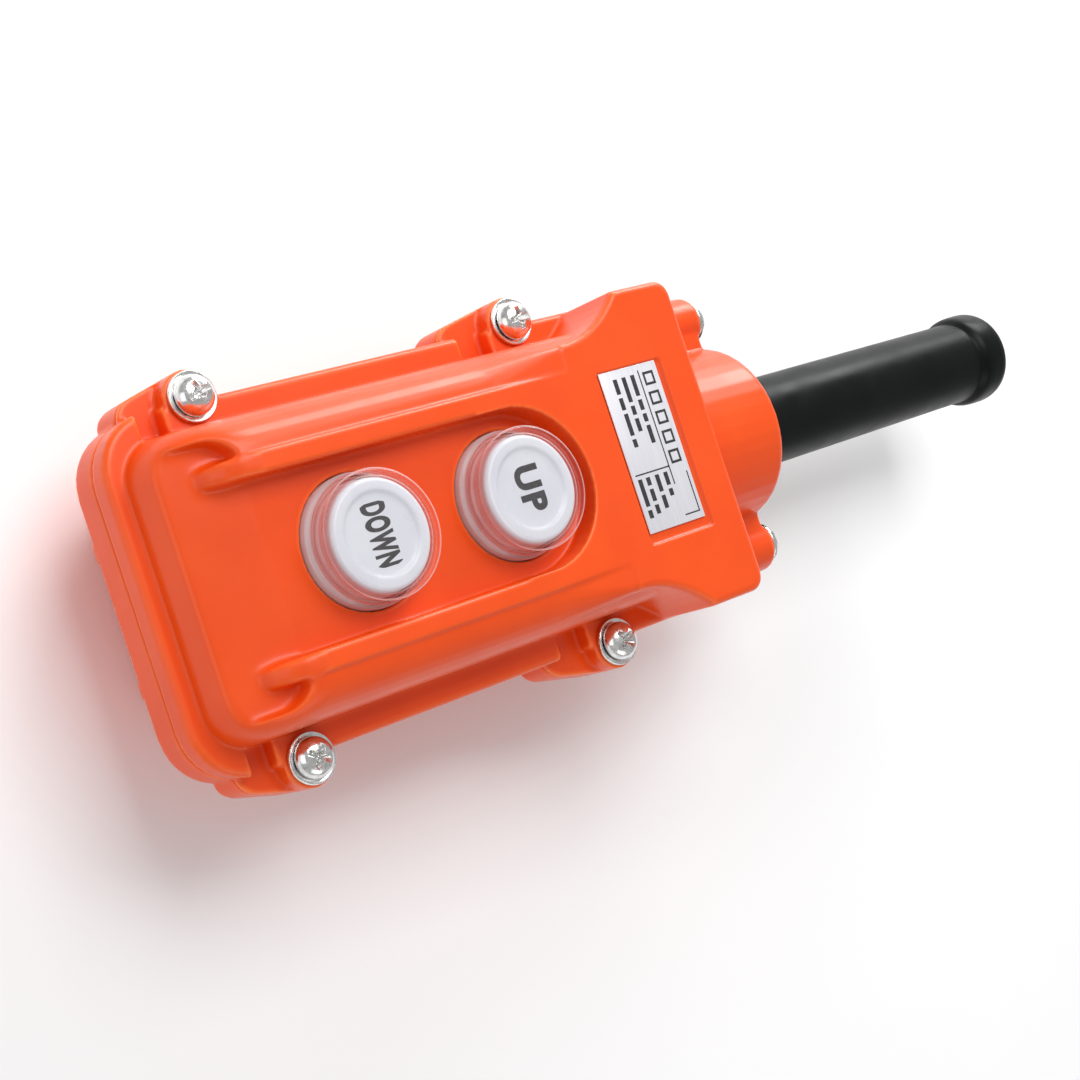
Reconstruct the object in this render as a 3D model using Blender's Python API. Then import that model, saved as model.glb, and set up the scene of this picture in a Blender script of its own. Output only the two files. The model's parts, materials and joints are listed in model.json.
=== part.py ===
"""Two-button pendant control station: case halves, gland, sleeve, buttons, springs and contact block.

The station lies on its back. +X runs from the closed end of the case to the cable sleeve, +Y is
across the case and +Z points out of the button face. The origin is under the middle of the whole
length, on the plane that the back rests on. Sizes below are in millimetres; every mesh is in metres.
"""

import math

import bmesh
import bpy
from mathutils import Vector

MM = 0.001
GAP = 0.3  # clearance between pieces that touch on the real object

# Lengths along X
LENGTH = 230.5
CASE_LENGTH = 122.2
SCREW_INSET = 20.5
SCREW_PITCH = 73.0
DOWN_INSET = 38.1
BUTTON_PITCH = 34.3
COLLAR_LENGTH = 20.7
NOSE_LENGTHS = (12.8, 15.4)
CUFF_LENGTH = 7.7

X_CLOSED = -LENGTH / 2
X_OPEN = X_CLOSED + CASE_LENGTH
X_SCREWS = (X_CLOSED + SCREW_INSET, X_CLOSED + SCREW_INSET + SCREW_PITCH)
X_DOWN = X_CLOSED + DOWN_INSET
X_UP = X_DOWN + BUTTON_PITCH
X_BLOCK = (X_DOWN + X_UP) / 2
X_COLLAR = X_OPEN + COLLAR_LENGTH
X_TIP = LENGTH / 2

# Half widths along Y
FLANGE_HALF = 32.6
DOME_HALF = 27.3
RAIL_OUTER = 19.5
RAIL_INNER = 15.6
FLARE_START = 24.6
SCREW_HALF = 33.0
BOSS_RADIUS = 5.2
LOBE_RADIUS = 5.6
LOBE_HALF = 25.0
CAVITY_HALF = 24.4
BULKHEAD_HALF = 29.4

# Heights along Z
Z_PARTING = 30.0
Z_BAND = 22.0
Z_LEDGE = 35.0
Z_FLOOR = 45.5
Z_SHOULDER = 50.2
Z_SPRING_LINE = 40.0  # where the shoulder starts to round
Z_TOP = 51.0
FLOOR_THICK = 2.5
Z_UNDER_FLOOR = Z_FLOOR - FLOOR_THICK
REAR_FLOOR = 3.0

# Closed end and pocket
X_CREASE = X_CLOSED + 18.8  # where the pocket's floor meets the end slope
END_SLOPE = 0.2356
X_SCOOP = X_CLOSED + 12.2
SCOOP_Y = RAIL_OUTER - 1.3
SCOOP_RADIUS = 5.4
RIB_Y = 12.75
RIB_HALF = 1.8

# Gasket and rating plate
GASKET_INNER = 27.0
GASKET_OUTER = 29.6
RECESS_X = (X_OPEN - 25.4, X_OPEN - 8.6)
RECESS_HALF = 17.2
RECESS_DEPTH = 0.6
PLATE_X = (X_OPEN - 24.9, X_OPEN - 9.9)
PLATE_HALF = 16.1

# Buttons
HOLE_RADIUS = 12.5
CAP_RADIUS = 10.2
CAP_WALL = 1.5
Z_CAP_TOP = 52.2
Z_CAP_FOOT = 40.0
CAP_ROOF = 2.0
BOOT_RADIUS = 11.6
BOOT_LIP_RADIUS = 12.1
BOOT_THICK = 0.8
Z_BOOT_TOP = 53.4
STEM_RADIUS = 3.0
TIP_RADIUS = 1.8
SPRING_RADIUS = 4.9
SPRING_WIRE = 0.5
SPRING_TURNS = 5

# Contact block
BLOCK_HALF_LENGTH = 30.0
BLOCK_EAR_LENGTH = 36.5
BLOCK_HALF_WIDTH = 20.5
Z_BLOCK_TOP = 41.3
Z_BLOCK_EAR = 38.3
Z_BLOCK_FOOT = 24.0
Z_COUNTERBORE = 33.0
Z_CHANNEL = 30.0
COUNTERBORE_RADIUS = 10.8
CHANNEL_HALF_WIDTH = 4.6
CHANNEL_HALF_LENGTH = 14.6
TERMINAL_Y = 17.6
BASE_SCREW_Y = 17.5
PLATE_SCREW_Y = 9.5
Z_BRIDGE = 28.4
BRIDGE_THICK = 0.8
BRIDGE_HALF = 12.8
INTERLOCK_HALF = 11.6

# Cable sleeve
BORE_RADIUS = 6.0
SLEEVE_RADIUS = 9.75
SLEEVE_TIP_RADIUS = 9.4
CUFF_RADIUS = 10.7
COLLAR_RADIUS = 18.8
LIP_RADIUS = 13.5
LIP_THICK = 3.0
BULKHEAD_THICK = 4.0
X_BULKHEAD = X_OPEN - BULKHEAD_THICK
SLEEVE_INSIDE = 6.0

# Fasteners
SHANK_RADIUS = 1.95
PILOT_RADIUS = 2.15
WASHER_RADIUS = 4.7
WASHER_THICK = 0.9
HEAD_RADIUS = 4.0
HEAD_HEIGHT = 2.8

COLOURS = {
    "orange_plastic": ((0.90, 0.16, 0.03), 0.32, 0.0),
    "black_rubber": ((0.02, 0.02, 0.02), 0.55, 0.0),
    "clear_silicone": ((0.85, 0.80, 0.80), 0.15, 0.0),
    "white_plastic": ((0.80, 0.81, 0.85), 0.35, 0.0),
    "zinc_steel": ((0.75, 0.76, 0.76), 0.25, 1.0),
    "label_silver": ((0.78, 0.79, 0.82), 0.40, 0.2),
    "black_phenolic": ((0.03, 0.03, 0.03), 0.50, 0.0),
    "brass": ((0.72, 0.52, 0.22), 0.30, 1.0),
    "copper": ((0.72, 0.38, 0.24), 0.30, 1.0),
    "gasket_rubber": ((0.05, 0.05, 0.05), 0.70, 0.0),
    "spring_steel": ((0.60, 0.60, 0.62), 0.30, 1.0),
}


# ---------------------------------------------------------------- helpers


def material(slot):
    """The material of that name, made once."""
    found = bpy.data.materials.get(slot)
    if found:
        return found
    colour, roughness, metallic = COLOURS[slot]
    made = bpy.data.materials.new(slot)
    made.use_nodes = True
    shader = made.node_tree.nodes["Principled BSDF"]
    shader.inputs["Base Color"].default_value = (*colour, 1.0)
    shader.inputs["Roughness"].default_value = roughness
    shader.inputs["Metallic"].default_value = metallic
    return made


def rounded(corners, steps=5):
    """Points of a closed outline whose corners (x, y, radius) are rounded."""
    points = []
    for i, (x, y, radius) in enumerate(corners):
        if radius <= 0:
            points.append((x, y))
            continue
        here = Vector((x, y))
        back = (Vector(corners[i - 1][:2]) - here).normalized()
        ahead = (Vector(corners[(i + 1) % len(corners)][:2]) - here).normalized()
        half = back.angle(ahead) / 2
        centre = here + (back + ahead).normalized() * radius / math.sin(half)
        first = here + back * radius / math.tan(half) - centre
        last = here + ahead * radius / math.tan(half) - centre
        sweep = first.angle(last)
        for k in range(steps + 1):
            a, b = math.sin(sweep * (1 - k / steps)), math.sin(sweep * k / steps)
            points.append(tuple(centre + (first * a + last * b) / math.sin(sweep)))
    return points


def box_outline(x0, x1, half, near=0.0, far=0.0, steps=5):
    """A rectangle about the X axis, with corner radius near at x0 and far at x1."""
    return rounded([(x0, half, near), (x0, -half, near), (x1, -half, far), (x1, half, far)], steps)


def circle(x, y, radius, steps=24):
    turns = [2 * math.pi * k / steps for k in range(steps)]
    return [(x + radius * math.cos(t), y + radius * math.sin(t)) for t in turns]


def mesh_object(name, points, faces, slot="orange_plastic"):
    mesh = bpy.data.meshes.new(name)
    mesh.from_pydata([[c * MM for c in p] for p in points], [], faces)
    mesh.materials.append(material(slot))
    made = bpy.data.objects.new(name, mesh)
    bpy.context.scene.collection.objects.link(made)
    return made


def face_outwards(obj):
    work = bmesh.new()
    work.from_mesh(obj.data)
    bmesh.ops.recalc_face_normals(work, faces=work.faces)
    work.to_mesh(obj.data)
    work.free()
    return obj


def loft(name, loops, slot="orange_plastic"):
    """A solid through closed loops of equally many points, each loop a list of (x, y, z)."""
    count = len(loops[0])
    points = [p for loop in loops for p in loop]
    faces = [tuple(range(count - 1, -1, -1)), tuple(range(len(points) - count, len(points)))]
    for k in range(len(loops) - 1):
        for i in range(count):
            j = (i + 1) % count
            faces.append((k * count + i, k * count + j, (k + 1) * count + j, (k + 1) * count + i))
    return face_outwards(mesh_object(name, points, faces, slot))


def prism(name, outline, z0, z1, slot="orange_plastic"):
    return loft(name, [[(x, y, z) for x, y in outline] for z in (z0, z1)], slot)


def block(name, xs, ys, zs, slot="orange_plastic"):
    """A box between two values on each axis."""
    (x0, x1), (y0, y1) = xs, sorted(ys)
    return prism(name, [(x0, y0), (x1, y0), (x1, y1), (x0, y1)], *zs, slot)


def rod_x(name, radius, x0, x1, y, steps=12):
    """A plain cylinder along X at the height of the parting plane."""
    profile = [(0, x0), (radius, x0), (radius, x1), (0, x1)]
    return turned_x(name, profile, y, Z_PARTING, "orange_plastic", steps)


def turned(name, profile, x, y, slot, steps=24):
    """A solid of revolution about the vertical line at x, y; profile is (radius, z)."""
    return revolve(name, profile, steps, slot, lambda r, t, z: (x + r * math.cos(t), y + r * math.sin(t), z))


def turned_x(name, profile, y, z, slot, steps=24):
    """The same about a line along X; profile is (radius, x)."""
    return revolve(name, profile, steps, slot, lambda r, t, x: (x, y + r * math.cos(t), z + r * math.sin(t)))


def revolve(name, profile, steps, slot, place):
    """Sweeps a profile round its axis. Points on the axis become poles; a profile off it closes on itself."""
    points, rings = [], []
    for r, h in profile:
        if r == 0:
            rings.append([len(points)] * steps)
            points.append(place(0, 0, h))
            continue
        rings.append(list(range(len(points), len(points) + steps)))
        points += [place(r, 2 * math.pi * k / steps, h) for k in range(steps)]
    pairs = list(zip(rings, rings[1:], strict=False))
    if profile[0][0] and profile[-1][0]:
        pairs.append((rings[-1], rings[0]))
    faces = []
    for low, high in pairs:
        for k in range(steps):
            n = (k + 1) % steps
            corners = [low[k], low[n], high[n], high[k]]
            face = tuple(dict.fromkeys(corners))
            if len(face) > 2:
                faces.append(face)
    return face_outwards(mesh_object(name, points, faces, slot))


def combine(target, others, operation):
    """Applies one Boolean for each other object, then removes it."""
    for other in others:
        modifier = target.modifiers.new(other.name, "BOOLEAN")
        modifier.operation = operation
        modifier.object = other
    graph = bpy.context.evaluated_depsgraph_get()
    result = bpy.data.meshes.new_from_object(target.evaluated_get(graph))
    target.modifiers.clear()
    target.data = result
    work = bmesh.new()
    work.from_mesh(result)
    bmesh.ops.remove_doubles(work, verts=work.verts, dist=0.002 * MM)
    bmesh.ops.dissolve_degenerate(work, edges=work.edges, dist=0.002 * MM)
    work.to_mesh(result)
    work.free()
    for other in others:
        bpy.data.objects.remove(other)
    return target


def join(target, *others):
    return combine(target, others, "UNION")


def cut(target, *others):
    return combine(target, others, "DIFFERENCE")


def finish_smooth(obj, degrees=35):
    obj.data.shade_smooth()
    obj.data.set_sharp_from_angle(angle=math.radians(degrees))


def move_origin(obj, x, y, z):
    """Puts the object's origin on its joint's axis without moving its shape."""
    for vertex in obj.data.vertices:
        vertex.co.x -= x * MM
        vertex.co.y -= y * MM
        vertex.co.z -= z * MM
    obj.location = (x * MM, y * MM, z * MM)


# ---------------------------------------------------------------- case halves


def ear_outline(screw, side):
    """One screw ear: a round nose that leaves the flange, a slanting edge and a round end at the screw."""
    screw_x, nose_x = X_SCREWS[screw], X_SCREWS[screw] - NOSE_LENGTHS[screw]
    nose = [
        (nose_x + 4.6 * (1 - math.cos(a)), 31.8 + 4.2 * math.sin(a))
        for a in [math.radians(d) for d in range(0, 76, 15)]
    ]
    boss = [
        (screw_x + BOSS_RADIUS * math.sin(a), SCREW_HALF + BOSS_RADIUS * math.cos(a))
        for a in [math.radians(d) for d in range(-10, 91, 10)]
    ]
    points = [*nose, *boss, (screw_x + BOSS_RADIUS, 26.0), (nose_x, 26.0)]
    return [(x, side * y) for x, y in points]


def boss_outline(screw, side):
    """The raised part of an ear, as wide as its round end."""
    arc = [math.radians(d) for d in range(0, 181, 18)]
    screw_x, radius = X_SCREWS[screw], BOSS_RADIUS
    points = [(screw_x + radius * math.cos(a), SCREW_HALF + radius * math.sin(a)) for a in arc]
    points += [(screw_x - radius, 26.0), (screw_x + radius, 26.0)]
    return [(x, side * y) for x, y in points]


def flange_outline(inset=0.0):
    return box_outline(X_CLOSED + inset, X_OPEN, FLANGE_HALF - inset, 11.0 - inset, 0.0, 8)


def dome():
    """The raised body of the front cover: drafted sides and a round shoulder, also at the closed end."""
    rise, across = Z_SHOULDER - Z_SPRING_LINE, DOME_HALF - RAIL_OUTER
    levels = [(Z_LEDGE - 2.0, -0.4, 3.0, 8.0), (Z_LEDGE + 2.5, -0.1, 3.4, 8.0)]
    for k in range(9):
        a = math.radians(90 * k / 8)
        bend = 1 - math.cos(a)
        end = 4.2 + 11.0 * bend**0.75
        levels.append((Z_SPRING_LINE + rise * math.sin(a), across * bend, end, 8.0 + k / 8))
    loops = []
    for z, side, end, radius in levels:
        outline = box_outline(X_CLOSED + end, X_OPEN - 12.0, DOME_HALF - side, radius, 0.0, 8)
        loops.append([(x, y, z) for x, y in outline])
    return loft("dome", loops)


def pocket_plan():
    """The hollow between the rails in plan, round beyond the second button."""
    arc = [math.radians(d) for d in range(-90, 91, 9)]
    plan = [(X_CREASE, RAIL_INNER), (X_CREASE, -RAIL_INNER)]
    return plan + [(X_UP + RAIL_INNER * math.cos(a), RAIL_INNER * math.sin(a)) for a in arc]


def end_slope():
    """The cutter for the sloped end: a flat ramp that reaches round both rails' tips."""
    arc = [math.radians(d) for d in range(90, 19, -10)]
    half = [(X_CLOSED - 2.0, SCOOP_Y + SCOOP_RADIUS)]
    half += [(X_SCOOP + SCOOP_RADIUS * math.cos(a), SCOOP_Y + SCOOP_RADIUS * math.sin(a)) for a in arc]
    half += [(X_SCOOP + SCOOP_RADIUS, SCOOP_Y), (X_CREASE + 2.0, RAIL_INNER)]
    plan = half + [(x, -y) for x, y in reversed(half)]
    slope = [(x, y, Z_FLOOR - END_SLOPE * (X_CREASE - x)) for x, y in plan]
    return loft("end_slope", [slope, [(x, y, Z_TOP + 3.0) for x, y in plan]])


def channel():
    """The hollow between the rails: flat under the buttons and sloped at the closed end."""
    return join(prism("floor", pocket_plan(), Z_FLOOR, Z_TOP + 3.0), end_slope())


def rail(side):
    """A guard rail beside the buttons, with a rounded tip at the closed end."""
    stations = [
        # distance from the closed end, height, taper of each side
        (10.6, 42.4, 0.9),
        (11.2, 44.6, 0.5),
        (12.4, 46.8, 0.2),
        (14.4, 48.9, 0.0),
        (17.2, 50.3, 0.0),
        (20.6, Z_TOP, 0.0),
        (90.0, Z_TOP, 0.0),
    ]
    loops = []
    for along, top, taper in stations:
        inner, outer = RAIL_INNER + taper, RAIL_OUTER - taper
        section = [(inner, 38.0), (inner, top - 0.5), (inner + 0.5, top)]
        section += [(outer - 0.4, top), (outer, top - 0.4), (outer, 38.0)]
        loops.append([(X_CLOSED + along, side * y, z) for y, z in section])
    return loft("rail", loops)


def shoulder_rise(side):
    """The stretch where the shoulder climbs from the rail's foot to the level of the plate block."""
    foot, sunk = RAIL_INNER + 1.5, 0.1
    loops = []
    for k in range(7):
        blend = (k / 6) ** 2 * (3 - k / 3)
        x = X_OPEN - 54.0 + 4.0 * k
        section = [(foot, 36.0), (foot, Z_SHOULDER - sunk + (Z_TOP - Z_SHOULDER) * blend)]
        for j in range(7):
            a = math.radians(90 - 15 * j)
            low_y = RAIL_OUTER - sunk + (DOME_HALF - RAIL_OUTER) * math.cos(a)
            low_z = Z_SPRING_LINE - sunk + (Z_SHOULDER - Z_SPRING_LINE) * math.sin(a)
            high_y = FLARE_START - 1.4 + 1.3 * math.cos(a)
            high_z = Z_TOP - 1.5 + 1.4 * math.sin(a)
            section.append((low_y + (high_y - low_y) * blend, low_z + (high_z - low_z) * blend))
        section.append((FLARE_START - 0.2, 36.0))
        loops.append([(x, side * y, z) for y, z in section])
    return loft("shoulder_rise", loops)


def plate_block():
    """The wide block that carries the rating plate, flared from the shoulders, less the pocket."""
    half = FLANGE_HALF - 0.3
    start, stop = X_OPEN - 32.0, X_OPEN - 14.6
    side = [(X_UP - 6.0, RAIL_OUTER - 0.5), (start, RAIL_OUTER - 0.5)]
    for k in range(9):
        t = k / 8
        side.append((start + 0.4 + (stop - start - 0.4) * t, FLARE_START + (half - FLARE_START) * t**2.2))
    corners = [(X_OPEN - 14.0, half, 0), (X_OPEN, half, 3.0), (X_OPEN, -half, 3.0), (X_OPEN - 14.0, -half, 0)]
    plan = [*side, *rounded(corners)[1:-1], *[(x, -y) for x, y in reversed(side)]]
    loops = []
    for z, shrink in ((Z_LEDGE - 3.0, 0.0), (Z_TOP - 1.2, 0.0), (Z_TOP - 0.35, 0.35), (Z_TOP, 1.2)):
        loops.append([(x - shrink * (x > X_OPEN - 4), y - math.copysign(shrink, y), z) for x, y in plan])
    body = loft("plate_block", loops)
    return cut(body, prism("pocket", pocket_plan(), Z_LEDGE - 5.0, Z_TOP + 2.0))


def ledge_notches():
    """Gaps in the ledge between the closed end's corner, or the long ledge, and each boss."""
    made = []
    for screw_x, ledge_gap in zip(X_SCREWS, (11.4, 13.6), strict=True):
        for side in (1, -1):
            xs = (screw_x - ledge_gap, screw_x - BOSS_RADIUS - 0.8)
            ys = (side * (DOME_HALF + 0.4), side * 45.0)
            made.append(block("notch", xs, ys, (Z_PARTING + 1.2, Z_LEDGE + 2.0)))
    return made


def gasket_outline(inner, outer):
    """A U in plan that runs round the closed end and stops at the bulkhead."""
    stop, near = X_BULKHEAD - GAP, X_CLOSED + FLANGE_HALF
    out = [(stop, outer, 0), (near - outer, outer, 8.0), (near - outer, -outer, 8.0), (stop, -outer, 0)]
    back = [(stop, -inner, 0), (near - inner, -inner, 6.0), (near - inner, inner, 6.0), (stop, inner, 0)]
    return rounded(out) + rounded(back)


def cavity(z0, levels):
    """The hollow of a case half from z0 on: levels of height, side inset and closed-end inset."""
    loops = []
    for z, inset, end in [(z0, 0.0, 0.0), *levels]:
        outline = box_outline(X_CLOSED + 8.2 + end, X_BULKHEAD - 16.0, CAVITY_HALF - inset, 5.0)
        loops.append([(x, y, z) for x, y in outline])
    return loft("cavity", loops)


def gland_bay(x0, z0, z1, half):
    """The wide hollow next to the bulkhead."""
    return prism("gland_bay", box_outline(x0, X_BULKHEAD, half), z0, z1)


def front_cover():
    low = Z_PARTING + GAP / 2
    ears = [(n, s) for n in (0, 1) for s in (1, -1)]
    edge = [(flange_outline(), low), (flange_outline(), Z_LEDGE - 0.8), (flange_outline(0.8), Z_LEDGE)]
    cover = loft("front_cover", [[(x, y, z) for x, y in outline] for outline, z in edge])
    cut(cover, *ledge_notches())
    join(cover, *[prism("ear", ear_outline(n, s), low, Z_PARTING + 1.3) for n, s in ears])
    join(cover, *[prism("boss", boss_outline(n, s), low, Z_LEDGE + 0.02) for n, s in ears])
    body = cut(join(dome(), shoulder_rise(1), shoulder_rise(-1)), channel())
    join(body, rail(1), rail(-1))
    join(cover, body, plate_block())

    under_plate = Z_TOP - 2.6
    hollow = cavity(low - 2.0, [(Z_UNDER_FLOOR - 6.0, 0.6, 0.6), (Z_UNDER_FLOOR, 1.8, 7.2)])
    bay = gland_bay(X_BULKHEAD - 17.0, low - 2.0, under_plate, BULKHEAD_HALF + GAP - 5.0)
    seat_plan = box_outline(X_BULKHEAD - GAP, X_OPEN + 2.0, BULKHEAD_HALF + GAP)
    seat = prism("seat", seat_plan, low - 2.0, under_plate)
    slot = gasket_outline(GASKET_INNER - GAP, GASKET_OUTER + GAP)
    groove = prism("groove", slot, low - 2.0, Z_PARTING + 0.8)
    cut(cover, hollow, bay, seat, groove)

    cutters = [block("recess", RECESS_X, (RECESS_HALF, -RECESS_HALF), (Z_TOP - RECESS_DEPTH, Z_TOP + 1.0))]
    for x in (X_DOWN, X_UP):
        cutters.append(prism("hole", circle(x, 0.0, HOLE_RADIUS, 32), Z_UNDER_FLOOR - 2.0, Z_FLOOR + 2.0))
    for n, s in ears:
        drill = circle(X_SCREWS[n], s * SCREW_HALF, PILOT_RADIUS, 12)
        cutters.append(prism("drill", drill, low - 2.0, Z_LEDGE + 2.0))
    for x in base_screw_x():
        for y in (BASE_SCREW_Y, -BASE_SCREW_Y):
            cutters.append(prism("pilot", circle(x, y, 1.5, 10), Z_UNDER_FLOOR - 3.0, Z_TOP - 3.5))
    cut(cover, *cutters)
    finish_smooth(cover)


def rear_body_loops():
    """The tapered back of the rear case, from its band down to the face it rests on."""
    profile = [
        # height, side inset, closed-end inset, gland-end inset, corner radius
        (Z_BAND + 2.0, 4.6, 5.0, 0.0, 7.0),
        (Z_BAND - 2.0, 4.9, 5.6, 0.0, 7.0),
        (8.0, 6.2, 9.0, 0.4, 8.0),
        (3.4, 7.6, 11.4, 1.4, 8.5),
        (1.0, 9.6, 13.6, 3.2, 8.5),
        (0.0, 12.0, 16.0, 5.6, 8.0),
    ]
    loops = []
    for z, side, near, far, radius in profile:
        outline = box_outline(X_CLOSED + near, X_OPEN - far, FLANGE_HALF - side, radius, 4.0)
        loops.append([(x, y, z) for x, y in outline])
    return loops


def end_rib(side):
    """A small rib under the band at the closed end."""
    near, far, middle = X_CLOSED + 2.6, X_CLOSED + 9.6, side * RIB_Y
    loops = []
    for x, z in ((near + 4.0, 9.0), (near, 17.5), (near, Z_BAND + 1.0)):
        low, high = middle - RIB_HALF, middle + RIB_HALF
        loops.append([(x, low, z), (x, high, z), (far, high, z), (far, low, z)])
    return loft("rib", loops)


def rear_case():
    high = Z_PARTING - GAP / 2
    sides = [(n, s) for n in (0, 1) for s in (1, -1)]
    edge = [(flange_outline(1.0), Z_BAND), (flange_outline(), Z_BAND + 1.2), (flange_outline(), high)]
    case = loft("rear_case", [[(x, y, z) for x, y in outline] for outline, z in edge])
    ears = [prism("ear", ear_outline(n, s), Z_BAND, high) for n, s in sides]
    ribs = [end_rib(side) for side in (1, -1)]
    across = (BULKHEAD_HALF, -BULKHEAD_HALF)
    bulkhead = block("bulkhead", (X_BULKHEAD, X_OPEN), across, (12.0, Z_TOP - 2.9))
    body = loft("body", rear_body_loops())

    hollow = cavity(high + 2.0, [(14.0, 1.0, 1.0), (REAR_FLOOR + 4.0, 4.6, 4.6), (REAR_FLOOR, 8.6, 8.6)])
    bay = gland_bay(X_BULKHEAD - 27.0, REAR_FLOOR + 3.0, high + 25.0, BULKHEAD_HALF - 5.0)
    cutters = [hollow, bay]
    for n, s in sides:
        drill = circle(X_SCREWS[n], s * SCREW_HALF, PILOT_RADIUS, 12)
        cutters.append(prism("drill", drill, Z_BAND + 1.8, high + 2.0))
    slot = gasket_outline(GASKET_INNER - GAP, GASKET_OUTER + GAP)
    cutters.append(prism("groove", slot, Z_PARTING - 1.6, high + 2.0))
    cutters.append(rod_x("port", SLEEVE_RADIUS + 0.35, X_BULKHEAD - 3.0, X_OPEN + 3.0, 0.0, 24))
    for y in (LOBE_HALF, -LOBE_HALF):
        cutters.append(rod_x("tap", PILOT_RADIUS, X_OPEN - 3.2, X_OPEN + 2.0, y))
    join(case, body, bulkhead, *ears, *ribs)
    cut(case, *cutters)
    finish_smooth(case)


def case_gasket():
    outline = gasket_outline(GASKET_INNER, GASKET_OUTER)
    ring = prism("case_gasket", outline, Z_PARTING - 1.3, Z_PARTING + 0.5, "gasket_rubber")
    finish_smooth(ring)


def rating_plate():
    outline = box_outline(*PLATE_X, PLATE_HALF, 0.6, 0.6, 2)
    plate = prism("rating_plate", outline, Z_TOP - 0.45, Z_TOP - 0.15, "label_silver")
    plate.location.y = 1.0 * MM


# ---------------------------------------------------------------- gland and sleeve


def gland_cap():
    """The collar that clamps the sleeve's lip, with a screw lobe on each side."""
    start = X_OPEN + GAP
    seat = LIP_THICK + GAP
    bore = SLEEVE_RADIUS + 0.35
    profile = [
        (LIP_RADIUS + 0.4, start),
        (COLLAR_RADIUS + 0.3, start),
        (COLLAR_RADIUS, X_COLLAR - 1.5),
        (COLLAR_RADIUS - 0.5, X_COLLAR - 0.4),
        (COLLAR_RADIUS - 1.6, X_COLLAR),
        (bore, X_COLLAR),
        (bore, start + seat),
        (LIP_RADIUS + 0.4, start + seat),
    ]
    cap = turned_x("gland_cap", profile, 0.0, Z_PARTING, "orange_plastic", 40)
    lobe_profile = [
        (0, start),
        (LOBE_RADIUS, start),
        (LOBE_RADIUS - 0.2, X_COLLAR - 0.2),
        (LOBE_RADIUS - 0.8, X_COLLAR + 0.4),
        (0, X_COLLAR + 0.4),
    ]
    for side in (1, -1):
        y = side * LOBE_HALF
        lobe = turned_x("lobe", lobe_profile, y, Z_PARTING, "orange_plastic")
        web_y = (side * (COLLAR_RADIUS - 3.0), y)
        web = block("web", (start, X_COLLAR - 1.0), web_y, (Z_PARTING - 4.6, Z_PARTING + 4.6))
        join(cap, lobe, web)
        cut(cap, rod_x("drill", PILOT_RADIUS, start - 2.0, X_COLLAR + 3.0, y))
    finish_smooth(cap)


def cable_sleeve():
    """Rubber sleeve: inner spigot, clamped lip, long tapered barrel and a cuff; open right through."""
    lip = X_OPEN + GAP + 0.1
    cuff = X_TIP - CUFF_LENGTH
    profile = [
        (BORE_RADIUS, X_BULKHEAD - SLEEVE_INSIDE),
        (SLEEVE_RADIUS - 0.6, X_BULKHEAD - SLEEVE_INSIDE),
        (SLEEVE_RADIUS, X_BULKHEAD - SLEEVE_INSIDE + 0.8),
        (SLEEVE_RADIUS, lip),
        (LIP_RADIUS, lip),
        (LIP_RADIUS, lip + LIP_THICK - 0.2),
        (SLEEVE_RADIUS, lip + LIP_THICK - 0.2),
        (SLEEVE_TIP_RADIUS, cuff - 1.4),
        (CUFF_RADIUS - 0.2, cuff + 0.6),
        (CUFF_RADIUS, X_TIP - 1.2),
        (CUFF_RADIUS - 0.6, X_TIP),
        (BORE_RADIUS + 0.8, X_TIP),
        (BORE_RADIUS, X_TIP - 1.0),
    ]
    sleeve = turned_x("cable_sleeve", profile, 0.0, Z_PARTING, "black_rubber", 28)
    finish_smooth(sleeve)


# ---------------------------------------------------------------- fasteners


def pan_profile(base, radius, height, shank, length):
    """A pan head over a shank that runs down from the head's base."""
    return [
        (0, base + height),
        (radius * 0.55, base + height * 0.93),
        (radius * 0.88, base + height * 0.62),
        (radius, base + height * 0.22),
        (radius, base),
        (shank, base),
        (shank, base - length + 0.5),
        (shank - 0.5, base - length),
        (0, base - length),
    ]


def cross_slot(x, y, z, size=2.1, depth=1.4):
    """Two thin bars for a cross recess in a head that faces up."""
    made = []
    for half_x, half_y in ((size, 0.45), (0.45, size)):
        made.append(block("slot", (x - half_x, x + half_x), (y - half_y, y + half_y), (z - depth, z + 2.0)))
    return made


def cross_slot_x(x, y, size=2.1, depth=1.4):
    """The same in a head that faces along X, at the height of the parting plane."""
    made = []
    for half_y, half_z in ((size, 0.45), (0.45, size)):
        zs = (Z_PARTING - half_z, Z_PARTING + half_z)
        made.append(block("slot", (x - depth, x + 2.0), (y - half_y, y + half_y), zs))
    return made


def washer_profile(base):
    inner, top = SHANK_RADIUS + 0.25, base + WASHER_THICK
    return [(inner, base), (WASHER_RADIUS, base), (WASHER_RADIUS, top), (inner, top)]


def cover_fasteners():
    places = [(x, s * SCREW_HALF) for x in X_SCREWS for s in (1, -1)]
    seat = Z_LEDGE + 0.2
    base = seat + WASHER_THICK + 0.15
    profile = pan_profile(base, HEAD_RADIUS, HEAD_HEIGHT, SHANK_RADIUS, 12.0)
    for number, (x, y) in enumerate(places, 1):
        washer = turned(f"cover_washer_{number}", washer_profile(seat), x, y, "zinc_steel", 20)
        screw = turned(f"cover_screw_{number}", profile, x, y, "zinc_steel", 20)
        cut(screw, *cross_slot(x, y, base + HEAD_HEIGHT))
        finish_smooth(screw)
        finish_smooth(washer)


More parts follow.
